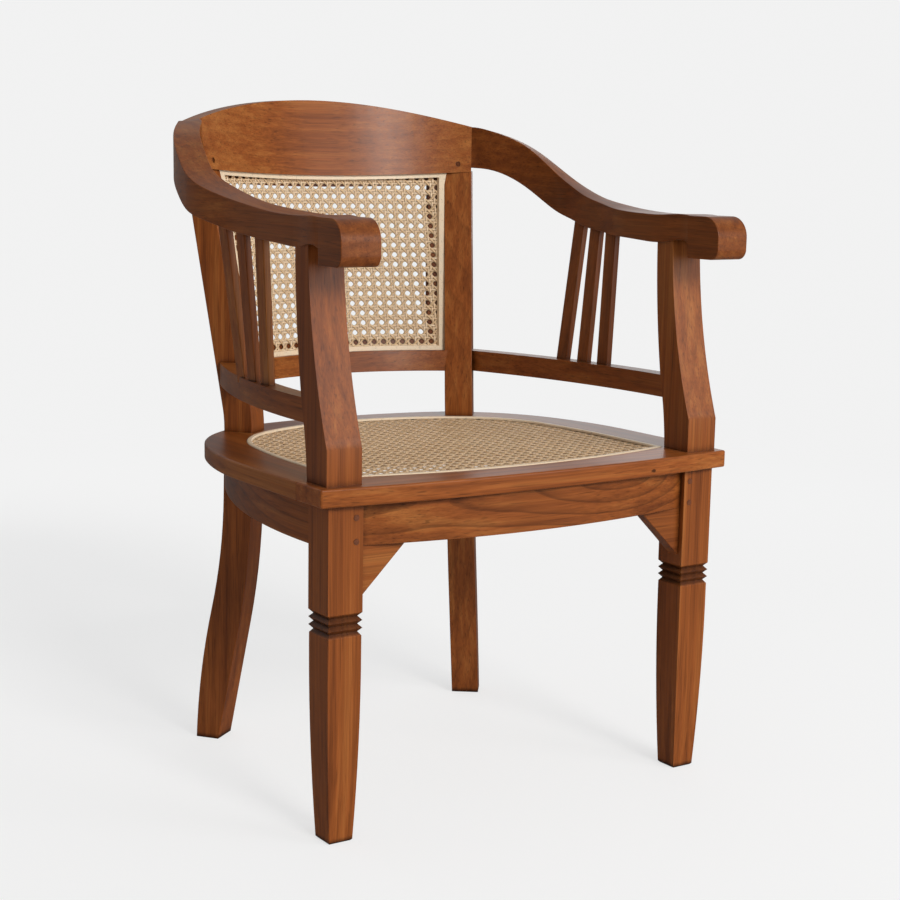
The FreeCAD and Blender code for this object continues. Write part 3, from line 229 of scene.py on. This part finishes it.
def wood(node, axis, tone, figure, cathedral):
    """Satin teak with its grain along one axis. figure is how strongly the growth rings show.
    cathedral is a turn and a move that bring the middle of the rings to the face of a board."""
    draw = random.Random(f"{node}_teak")
    s = Shader(f"{node}_teak")
    shift = [draw.uniform(-1, 1) for _ in AXES]

    def stretched(share):
        return [share if letter == axis else 1.0 for letter in AXES]

    def pattern(share, *noise):
        return s.noise(s.place(stretched(share), move=shift), *noise)

    if cathedral:
        turn, move = cathedral
        stretch = CATHEDRAL_STRETCH
    else:
        turn = [draw.uniform(-RING_TILT, RING_TILT) for _ in AXES]
        move = [RING_SHIFT * v for v in shift]
        stretch = RING_STRETCH
    rings = s.add("TexWave", {
        "Vector": s.place(stretched(stretch), turn, move),
        "Phase Offset": draw.uniform(0, RING_PHASE), **RINGS,
    }, wave_type="RINGS", rings_direction=axis, wave_profile="SAW").outputs["Fac"]
    streaks, patches = pattern(*STREAKS), pattern(*PATCHES)
    fibres, pores = pattern(*FIBRES), pattern(*PORES)
    colour = s.ramp(s.blend(patches, streaks, PATCH_SHARE), WOOD_STOPS)
    colour = s.shade(colour, figure, rings, RING_STOPS)
    colour = s.shade(colour, FIBRE_SHARE, fibres, FIBRE_STOPS)
    colour = s.shade(colour, PORE_SHARE, pores, PORE_STOPS)
    colour = s.multiply(1.0, colour, (*(tone * tint for tint in TONE_TINT), 1))
    if node in KNOTS:
        spot, radius = KNOTS[node]
        flat_spot = [a * b for a, b in zip(spot, KNOT_FLAT)]
        near = s.add("VectorMath", {0: s.place(KNOT_FLAT), 1: flat_spot}, operation="DISTANCE")
        wobble = s.noise(s.where, *KNOT_NOISE)
        edge = s.calc("MULTIPLY_ADD", wobble, KNOT_WOBBLE * radius, near.outputs["Value"])
        colour = s.shade(colour, KNOT_SHARE, s.calc("DIVIDE", edge, radius), KNOT_STOPS)
    height = s.add("SeparateXYZ", {0: s.where}).outputs["Z"]
    # Painted shade over the grooves of the front legs
    if node in GROOVED:
        low, high = GROOVES
        away = s.calc("ABSOLUTE", s.calc("SUBTRACT", height, (low + high) / 2))
        colour = s.shade(colour, 1.0, s.calc("DIVIDE", away, (high - low) / 2), GROOVE_SHADE_STOPS)
    # Darker towards the bottom of the feet
    low_dark = s.calc("DIVIDE", s.calc("MULTIPLY_ADD", streaks, FOOT_WANDER, height), FOOT_DARK_RISE)
    colour = s.shade(colour, 1.0, low_dark, FOOT_STOPS)
    # Painted shade in crevices and joints, from ambient occlusion
    crevice_shade = s.add("AmbientOcclusion", {"Distance": CREVICE_SHADE_REACH}, samples=CREVICE_SHADE_SAMPLES)
    colour = s.shade(colour, CREVICE_SHADE_SHARE, crevice_shade.outputs["AO"], CREVICE_SHADE_STOPS)
    dents = s.blend(pores, fibres, PORE_DEPTH_SHARE)
    gloss = s.calc("MULTIPLY_ADD", fibres, WOOD_GLOSS_SPREAD, WOOD_GLOSS)
    return s.finish(colour, gloss, WOOD_SPECULAR, dents, WOOD_BUMP, WOOD_DEPTH)


PEG_GRAIN = (900, 3, 0.6)
PEG_CLOUD = (160, 2)
PEG_STOPS = ((0.3, (0.085, 0.022, 0.006)), (0.7, (0.190, 0.053, 0.014)))
PEG_CLOUD_SHARE, PEG_CLOUD_STOPS = 0.6, ((0.35, 0.7), (0.65, 1.2))
PEG_BUMP, PEG_DEPTH = 0.3, 0.0003
PEG_GLOSS = 0.5
PEG_SPECULAR = 0.35


def peg_wood(name):
    """End grain, darker than the boards round it."""
    s = Shader(name)
    grain = s.noise(s.where, *PEG_GRAIN)
    cloud = s.noise(s.where, *PEG_CLOUD)
    colour = s.shade(s.ramp(grain, PEG_STOPS), PEG_CLOUD_SHARE, cloud, PEG_CLOUD_STOPS)
    return s.finish(colour, PEG_GLOSS, PEG_SPECULAR, grain, PEG_BUMP, PEG_DEPTH)


CANE_STREAK = (1500, 2, 0.6)
CANE_STRAND = (70, 3, 0.65)
CANE_SPOTS = (300, 2)
STRAND_WARM, STRAND_PALE = 0.32, 0.66
CANE_STREAK_SHARE, CANE_STREAK_STOPS = 0.6, ((0.3, 0.80), (0.65, 1.10))
CANE_SPOT_SHARE, CANE_SPOT_STOPS = 0.5, ((0.30, 0.55), (0.38, 1.0))
CANE_BUMP, CANE_DEPTH = 0.25, 0.0002
CANE_GLOSS, CANE_GLOSS_SPREAD = 0.36, 0.15
CANE_SPECULAR = 0.45


def cane(name, pale, warm, stretch):
    """Split rattan: a smooth skin, streaked along the strand and uneven in colour."""
    s = Shader(name)
    streak = s.noise(s.place(stretch), *CANE_STREAK)
    strand = s.noise(s.place([(1 + v) / 2 for v in stretch]), *CANE_STRAND)
    spots = s.noise(s.where, *CANE_SPOTS)
    colour = s.ramp(strand, ((STRAND_WARM, warm), (STRAND_PALE, pale)))
    colour = s.shade(colour, CANE_STREAK_SHARE, streak, CANE_STREAK_STOPS)
    colour = s.shade(colour, CANE_SPOT_SHARE, spots, CANE_SPOT_STOPS)
    gloss = s.calc("MULTIPLY_ADD", streak, CANE_GLOSS_SPREAD, CANE_GLOSS)
    return s.finish(colour, gloss, CANE_SPECULAR, streak, CANE_BUMP, CANE_DEPTH)


# Wooden pieces

SHARP = math.radians(32)
TOUCH = 0.5 * MM
JOINT_SHARE = 0.12
HOLLOW_SHARE = 0.25
JOINT_PLACES = (0.15, 0.5, 0.85)
JOINT_HITS = 2
SAME_POINT = 0.01 * MM
FLAT = math.radians(0.4)
NORMAL_WEIGHT = 50

# Rounding of the free edges in millimetres, and its segments
EDGES = {
    "broad": (2.6, 3), "post": (2.4, 2), "rear leg": (2.2, 2), "rail": (1.6, 2), "slat": (1.4, 2),
    "apron": (1.0, 2), "small": (0.8, 2), "arm": (8, 4), "hidden": (0.3, 1), "peg": (0.3, 1),
    "seat bead": (1.9, 3), "back bead": (2.2, 3),
}
# Node: grain axis, tone, kind of edge
BOARDS = {
    "crest_rail": ("X", 1.05, "broad"),
    "front_apron": ("X", 0.98, "apron"),
    "back_apron": ("X", 0.85, "apron"),
    "seat_front_rail": ("X", 1.13, "broad"),
    "seat_back_rail": ("X", 0.92, "broad"),
    "back_lower_rail": ("X", 0.95, "rail"),
    "back_ledge": ("X", 0.75, "small"),
    "front_bracket_right": ("X", 0.95, "small"),
    "front_bracket_left": ("X", 1.0, "small"),
    "side_apron_right": ("Y", 0.9, "apron"),
    "side_apron_left": ("Y", 0.95, "apron"),
    "seat_side_rail_right": ("Y", 0.95, "broad"),
    "seat_side_rail_left": ("Y", 0.95, "broad"),
    "side_rail_right": ("Y", 0.95, "rail"),
    "side_rail_left": ("Y", 0.95, "rail"),
    "arm_right": ("Y", 0.84, "arm"),
    "arm_left": ("Y", 0.84, "arm"),
    "front_leg_right": ("Z", 1.02, "rail"),
    "front_leg_left": ("Z", 1.05, "rail"),
    "rear_leg_right": ("Z", 1.0, "rear leg"),
    "rear_leg_left": ("Z", 1.0, "rear leg"),
    "arm_post_right": ("Z", 1.0, "post"),
    "arm_post_left": ("Z", 1.05, "post"),
    "arm_slat_right_1": ("Z", 0.95, "slat"),
    "arm_slat_right_2": ("Z", 1.0, "slat"),
    "arm_slat_right_3": ("Z", 0.98, "slat"),
    "arm_slat_left_1": ("Z", 0.95, "slat"),
    "arm_slat_left_2": ("Z", 1.0, "slat"),
    "arm_slat_left_3": ("Z", 0.98, "slat"),
    "seat_tenons": ("X", 0.8, "hidden"),
    "crest_arm_dowels": ("X", 0.8, "hidden"),
}
PLAIN_FIGURE = 0.25
FIGURES = {"crest_rail": 0.22, "front_apron": 0.75, "side_apron_right": 0.6, "side_apron_left": 0.6}
CATHEDRALS = {"front_apron": ((0, 0, 0.45), (0, 0.2354, -0.407))}
PEGS = ("leg_pegs", "crest_pegs")


def surface(name):
    mesh = nodes[name].data
    corners = [vertex.co for vertex in mesh.vertices]
    return BVHTree.FromPolygons(corners, [tuple(face.vertices) for face in mesh.polygons])


surfaces = {name: surface(name) for name in nodes if name not in PEGS}


def touches(name, point):
    for other, tree in surfaces.items():
        if other != name and tree.find_nearest(point, TOUCH)[0] is not None:
            return True
    return False


def is_joint(name, edge):
    start, end = (vertex.co for vertex in edge.verts)
    return sum(touches(name, start.lerp(end, share)) for share in JOINT_PLACES) >= JOINT_HITS


def edge_weight(name, edge):
    """How much of its rounding an edge takes. A joint stays tight."""
    if len(edge.link_faces) != 2:
        return 0
    angle = edge.calc_face_angle_signed(0)
    if abs(angle) < SHARP:
        return 0
    if is_joint(name, edge):
        return JOINT_SHARE
    return HOLLOW_SHARE if angle < 0 else 1


def dress(name, material, edges, suffix):
    """A copy of a CAD node with its free edges eased and its joints kept tight."""
    mesh = nodes[name].data.copy()
    mesh.name = f"{name}_{suffix}"
    shape = bmesh.new()
    shape.from_mesh(mesh)
    bmesh.ops.remove_doubles(shape, verts=shape.verts, dist=SAME_POINT)
    bmesh.ops.dissolve_limit(
        shape, angle_limit=FLAT, use_dissolve_boundaries=False,
        verts=shape.verts, edges=shape.edges,
    )
    weights = shape.edges.layers.float.new("bevel_weight_edge")
    for face in shape.faces:
        face.smooth = True
        face.material_index = 0
    for edge in shape.edges:
        edge[weights] = edge_weight(name, edge)
    shape.to_mesh(mesh)
    shape.free()
    mesh.materials.clear()
    mesh.materials.append(material)
    piece = link(bpy.data.objects.new(mesh.name, mesh))
    rounding, segments = EDGES[edges]
    bevel = piece.modifiers.new("edges", "BEVEL")
    bevel.limit_method = "WEIGHT"
    bevel.width = rounding * MM
    bevel.segments = segments
    bevel.use_clamp_overlap = True
    bevel.miter_outer = "MITER_ARC"
    normals = piece.modifiers.new("normals", "WEIGHTED_NORMAL")
    normals.weight = NORMAL_WEIGHT
    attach(piece, "root")
    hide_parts(name)


for name, (axis, tone, edges) in BOARDS.items():
    board = wood(name, axis, tone, FIGURES.get(name, PLAIN_FIGURE), CATHEDRALS.get(name))
    dress(name, board, edges, "board")

dark_peg = peg_wood("peg_end_grain")
for name in PEGS:
    dress(name, dark_peg, "peg", "rounds")


# Woven cane

PITCH = 14.2 * MM
ROW_PITCH = 13.95 * MM
PAIR = 1.85 * MM
STRAND = 3.3 * MM
STRAND_SPREAD = (0.93, 1.05)
SKIN = 0.9 * MM
PLAIN_WAVE = 0.48 * MM
CROSS_WAVE = 0.95 * MM
STRAY = 0.12 * MM
WANDER = 0.05 * MM
SHORTEST = 2 * STRAND
# How many cells longer than the outline the diagonals are laid out
SPARE_CELLS = 3
PARALLEL = 1e-15
# The slots of a weave's materials
UPRIGHT, LEVEL, DIAGONAL = 0, 1, 2


def hull(points):
    """The convex outline of some flat points, anticlockwise."""
    points = sorted(set(points))

    def chain(row):
        out = []
        for p in row:
            while len(out) > 1:
                (ax, ay), (bx, by) = out[-2:]
                if (bx - ax) * (p[1] - ay) - (by - ay) * (p[0] - ax) > 0:
                    break
                out.pop()
            out.append(p)
        return out[:-1]

    return chain(points) + chain(points[::-1])


def clip(start, end, polygon):
    """The shares of a line's length at which it enters and leaves a convex outline."""
    enter, leave = 0.0, 1.0
    dx, dy = end[0] - start[0], end[1] - start[1]
    for (ax, ay), (bx, by) in zip(polygon, polygon[1:] + polygon[:1]):
        nx, ny = ay - by, bx - ax
        ahead = nx * dx + ny * dy
        gap = nx * (start[0] - ax) + ny * (start[1] - ay)
        if abs(ahead) < PARALLEL:
            if gap < 0:
                return None
            continue
        share = -gap / ahead
        if ahead > 0:
            enter = max(enter, share)
        else:
            leave = min(leave, share)
    return (enter, leave) if enter < leave else None


class Weave:
    """Six-way cane over a convex outline: pairs both ways and single strands on both diagonals."""

    def __init__(self, name, outline, place, steps, middle, seed):
        self.name = name
        self.outline = outline
        self.place = place
        self.steps = steps
        self.middle = middle
        self.draw = random.Random(seed)
        self.shape = bmesh.new()

    def reach(self, key):
        """The lowest and the highest of the outline, across (0) or up (1)."""
        values = [point[key] for point in self.outline]
        return min(values), max(values)

    def strand(self, path, slot):
        """One flat strand with a lens-shaped section, closed at its ends.
        path holds (u, v, height)."""
        rings = []
        half = STRAND / 2 * self.draw.uniform(*STRAND_SPREAD)
        for index, (u, v, height) in enumerate(path):
            before = path[max(index - 1, 0)]
            after = path[min(index + 1, len(path) - 1)]
            du, dv = after[0] - before[0], after[1] - before[1]
            size = math.hypot(du, dv)
            side_u, side_v = -dv / size * half, du / size * half
            ring = []
            for across, lift in ((-1, 0), (0, 1), (1, 0), (0, -1)):
                flat = (u + side_u * across, v + side_v * across, height + SKIN / 2 * lift)
                ring.append(self.shape.verts.new(self.place(*flat)))
            rings.append(ring)
        faces = []
        for low, high in zip(rings, rings[1:]):
            for i in range(len(low)):
                faces.append((low[i - 1], low[i], high[i], high[i - 1]))
        faces.append(tuple(rings[0]))
        faces.append(tuple(reversed(rings[-1])))
        for corners in faces:
            face = self.shape.faces.new(corners)
            face.smooth = True
            face.material_index = slot

    def run(self, start, end, stops, slot):
        """A strand along a line, clipped to the outline. stops gives (share of length, height)."""
        span = clip(start, end, self.outline)
        if not span:
            return
        enter, leave = span
        length = math.dist(start, end)
        if (leave - enter) * length < SHORTEST:
            return
        off = self.draw.uniform(-STRAY, STRAY)
        du, dv = (end[0] - start[0]) / length, (end[1] - start[1]) / length
        path = []
        inner = [stop for stop in stops if enter < stop[0] < leave]
        if len(inner) < 2:
            return
        for share, height in [(enter, inner[0][1] / 2), *inner, (leave, inner[-1][1] / 2)]:
            drift = off + self.draw.uniform(-WANDER, WANDER)
            u = start[0] + (end[0] - start[0]) * share - dv * drift
            v = start[1] + (end[1] - start[1]) * share + du * drift
            path.append((u, v, height))
        self.strand(path, slot)

    def pairs(self, slot):
        """Two strands a step, woven over and under the pairs that cross them."""
        upright = slot == UPRIGHT
        key, far = (0, 1) if upright else (1, 0)
        step, other = self.steps[key], self.steps[far]
        low, high = self.reach(key)
        far_low, far_high = self.reach(far)
        middle, far_middle = self.middle[key], self.middle[far]
        first = math.floor((low - middle) / step)
        last = math.ceil((high - middle) / step)
        first_row = math.floor((far_low - far_middle) / other) - 1
        rows = math.ceil((far_high - far_middle) / other) + 1 - first_row
        start_at = far_middle + first_row * other
        reach = rows * other
        for index in range(first, last + 1):
            for twin in (0, 1):
                line = middle + index * step + (twin * 2 - 1) * PAIR
                sign = (-1) ** twin * (1 if upright else -1)
                stops = []
                for row in range(rows + 1):
                    base = row * other
                    stops.append(((base - PAIR) / reach, sign * PLAIN_WAVE))
                    stops.append(((base + PAIR) / reach, -sign * PLAIN_WAVE))
                    stops.append(((base + other / 2) / reach, 0))
                ends = ((line, start_at), (line, start_at + reach))
                if not upright:
                    ends = tuple((v, u) for u, v in ends)
                self.run(*ends, stops, slot)

    def diagonals(self, sign):
        """Single strands that cut the corners of the holes, over one pair and under the other."""
        across, up = self.steps
        low_u, high_u = self.reach(0)
        low_v, high_v = self.reach(1)
        first = math.floor((low_u - self.middle[0]) / across) - 1
        cells = math.ceil((high_u - low_u) / across) + SPARE_CELLS
        rows = math.ceil((high_v - low_v) / up) + SPARE_CELLS
        quarters = 4 * cells
        stops = []
        for quarter in range(quarters + 1):
            stops.append((quarter / quarters, sign * CROSS_WAVE * math.cos(quarter * math.pi / 2)))
        start_u = self.middle[0] + first * across
        for index in range(-cells - rows, cells + rows):
            start_v = self.middle[1] + (index + 0.5) * up
            end = (start_u + cells * across, start_v + sign * cells * up)
            self.run((start_u, start_v), end, stops, DIAGONAL)

    def finish(self, materials, node):
        self.pairs(UPRIGHT)
        self.pairs(LEVEL)
        self.diagonals(1)
        self.diagonals(-1)
        bmesh.ops.recalc_face_normals(self.shape, faces=self.shape.faces)
        mesh = bpy.data.meshes.new(self.name)
        self.shape.to_mesh(mesh)
        self.shape.free()
        for material in materials:
            mesh.materials.append(material)
        piece = link(bpy.data.objects.new(self.name, mesh))
        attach(piece, "root")
        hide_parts(node)


CANE_PALE = (0.82, 0.63, 0.43)
CANE_WARM = (0.68, 0.465, 0.265)
CANE_AMBER = (0.57, 0.345, 0.165)
BACK_PALE = (0.86, 0.675, 0.475)
BACK_WARM = (0.74, 0.52, 0.305)
BEAD_PALE = (0.78, 0.64, 0.46)
# The share of the pattern's scale along a strand, and for a diagonal
ALONG = 0.04
ASLANT = 0.3

SEAT_MIDDLE = (0, -0.041)
SEAT_SEED = 11
seat_outline = hull([tuple(v.co[:2]) for v in nodes["seat_cane"].data.vertices])
seat_low, seat_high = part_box("seat_cane")
seat_level = (seat_low[2] + seat_high[2]) / 2


def seat_place(u, v, height):
    return (u, v, seat_level + height)


seat_canes = [
    cane("cane_front_to_back", CANE_PALE, CANE_WARM, (1, ALONG, 1)),
    cane("cane_side_to_side", CANE_PALE, CANE_WARM, (ALONG, 1, 1)),
    cane("cane_seat_diagonal", CANE_WARM, CANE_AMBER, (ASLANT, ASLANT, 1)),
]
seat_weave = Weave("seat_weave", seat_outline, seat_place, (PITCH, PITCH), SEAT_MIDDLE, SEAT_SEED)
seat_weave.finish(seat_canes, "seat_cane")

# The cane of the back is part of a cone whose upright axis stands in front of it. Its radius is
# the back's own at the height BACK_LEAN_FROM, and it leans back from there.
BACK_LEAN = math.radians(10.8)
BACK_FRONT_RADIUS = 368.5 * MM
BACK_LEAN_FROM = 775 * MM
CANE_SET = 9 * MM
CANE_THICK = 2.2 * MM
BACK_AXIS_Y = -112.58 * MM
RAIL_TOP = 520.5 * MM
BACK_ROW_START = 4.825 * MM
BACK_SEED = 12


def back_radius(z):
    lean = (z - BACK_LEAN_FROM) * math.tan(BACK_LEAN)
    return BACK_FRONT_RADIUS + CANE_SET + CANE_THICK / 2 + lean


def back_place(u, v, height):
    z = RAIL_TOP + v * math.cos(BACK_LEAN)
    turn = u / back_radius(z)
    radius = back_radius(z) - height
    return (radius * math.sin(turn), BACK_AXIS_Y + radius * math.cos(turn), z)


def back_flat(point):
    x, y, z = point
    turn = math.atan2(x, y - BACK_AXIS_Y)
    return (turn * back_radius(z), (z - RAIL_TOP) / math.cos(BACK_LEAN))


back_outline = hull([back_flat(v.co) for v in nodes["back_cane"].data.vertices])
back_canes = [
    cane("cane_upright", BACK_PALE, BACK_WARM, (1, 1, ALONG)),
    cane("cane_level", BACK_PALE, BACK_WARM, (ALONG, 1, 1)),
    cane("cane_back_diagonal", BACK_WARM, CANE_WARM, (ASLANT, 1, ASLANT)),
]
back_weave = Weave(
    "back_weave", back_outline, back_place, (PITCH, ROW_PITCH), (0, BACK_ROW_START), BACK_SEED,
)
back_weave.finish(back_canes, "back_cane")

bead = cane("cane_bead", BEAD_PALE, CANE_PALE, (1, 1, 1))
dress("seat_spline", bead, "seat bead", "bead")
dress("back_spline", bead, "back bead", "bead")


# Floor, backdrop and light

PALE = 0.885
WHITE = (1, 1, 1, 1)
FLOOR_HALF = 30
NEAR, FAR = 1.1, 2.8
NEAR_PLAIN = 0.66
NEAR_LEVEL = 1.0
GLOSS_PALE = 0.2


def make_floor():
    """Plain pale floor. The camera sees part of it evenly lit, so that its shadows are faint."""
    mesh = bpy.data.meshes.new("floor")
    corners = [(x * FLOOR_HALF, y * FLOOR_HALF, 0) for x, y in ((-1, -1), (1, -1), (1, 1), (-1, 1))]
    mesh.from_pydata(corners, [], [(0, 1, 2, 3)])
    s = Shader("pale_floor")
    ray = s.add("LightPath").outputs
    seen = s.calc("MAXIMUM", ray["Is Camera Ray"], ray["Is Transmission Ray"])
    distance = s.add("VectorMath", {0: s.where}, operation="LENGTH").outputs["Value"]
    far = s.map(distance, NEAR, FAR, kind="SMOOTHSTEP")
    share = s.calc("MULTIPLY", seen, s.calc("MULTIPLY_ADD", far, 1 - NEAR_PLAIN, NEAR_PLAIN))
    shade = s.calc("MULTIPLY_ADD", ray["Is Glossy Ray"], GLOSS_PALE - PALE, PALE)
    level = s.calc("MULTIPLY_ADD", far, PALE - NEAR_LEVEL, NEAR_LEVEL)
    matt = s.add("BsdfDiffuse", {"Color": shade})
    plain = s.add("Emission", {"Color": WHITE, "Strength": level})
    mix = s.add("MixShader", {0: share, 1: matt.outputs[0], 2: plain.outputs[0]})
    mesh.materials.append(s.done(mix))
    floor = link(bpy.data.objects.new("floor", mesh))


SKY_COLOUR = (0.97, 0.99, 1.0, 1)
SKY_LOW = 0.16
SKY_HIGH = 0.50
SKY_LEFT = -0.13
SKY_BACK = 0.10


def make_world():
    """Pale to the camera. It lights the chair mostly from above, and least from the left."""
    world = bpy.data.worlds.new("studio")
    scene.world = world
    s = Tree(world)
    way = s.add("SeparateXYZ", {"Vector": s.add("TexCoord").outputs["Generated"]}).outputs
    above = s.map(way["Z"], 0, 1, SKY_LOW, SKY_HIGH)
    left = s.map(way["X"], -1, 0, SKY_LEFT, 0)
    behind = s.map(way["Y"], 0, 1, 0, SKY_BACK)
    level = s.calc("ADD", above, s.calc("ADD", behind, left))
    lit = s.add("Background", {"Color": SKY_COLOUR, "Strength": level})
    shown = s.add("Background", {"Color": (PALE, PALE, PALE, 1), "Strength": 1.0})
    seen = s.add("LightPath").outputs["Is Camera Ray"]
    mix = s.add("MixShader", {0: seen, 1: lit.outputs[0], 2: shown.outputs[0]})
    s.add("OutputWorld", {"Surface": mix.outputs[0]})


KEY_ENERGY = 1.9
KEY_ANGLE = math.radians(18)
KEY_COLOUR = (1.0, 0.985, 0.96)
KEY_FROM = (0.02, -1.0, 0.52)
# Name: place, width and height, power
SOFT_LIGHTS = {
    "softbox": ((1.35, -2.3, 1.15), (1.1, 1.2), 19),
    "back_light": ((2.5, 3.0, 1.05), (1.6, 1.1), 7),
}
SOFT_TARGET = (0, 0, 0.5)


def add_light(name, kind, energy, place, target):
    data = bpy.data.lights.new(name, kind)
    data.energy = energy
    light = link(bpy.data.objects.new(name, data))
    light.location = place
    light.rotation_euler = (Vector(place) - Vector(target)).to_track_quat("Z", "Y").to_euler()
    return data


def make_lights():
    key = add_light("key", "SUN", KEY_ENERGY, KEY_FROM, (0, 0, 0))
    key.angle = KEY_ANGLE
    key.color = KEY_COLOUR
    for name, (place, size, power) in SOFT_LIGHTS.items():
        soft = add_light(name, "AREA", power, place, SOFT_TARGET)
        soft.shape = "RECTANGLE"
        soft.size, soft.size_y = size


make_floor()
make_world()
make_lights()
scene.view_settings.view_transform = "Standard"
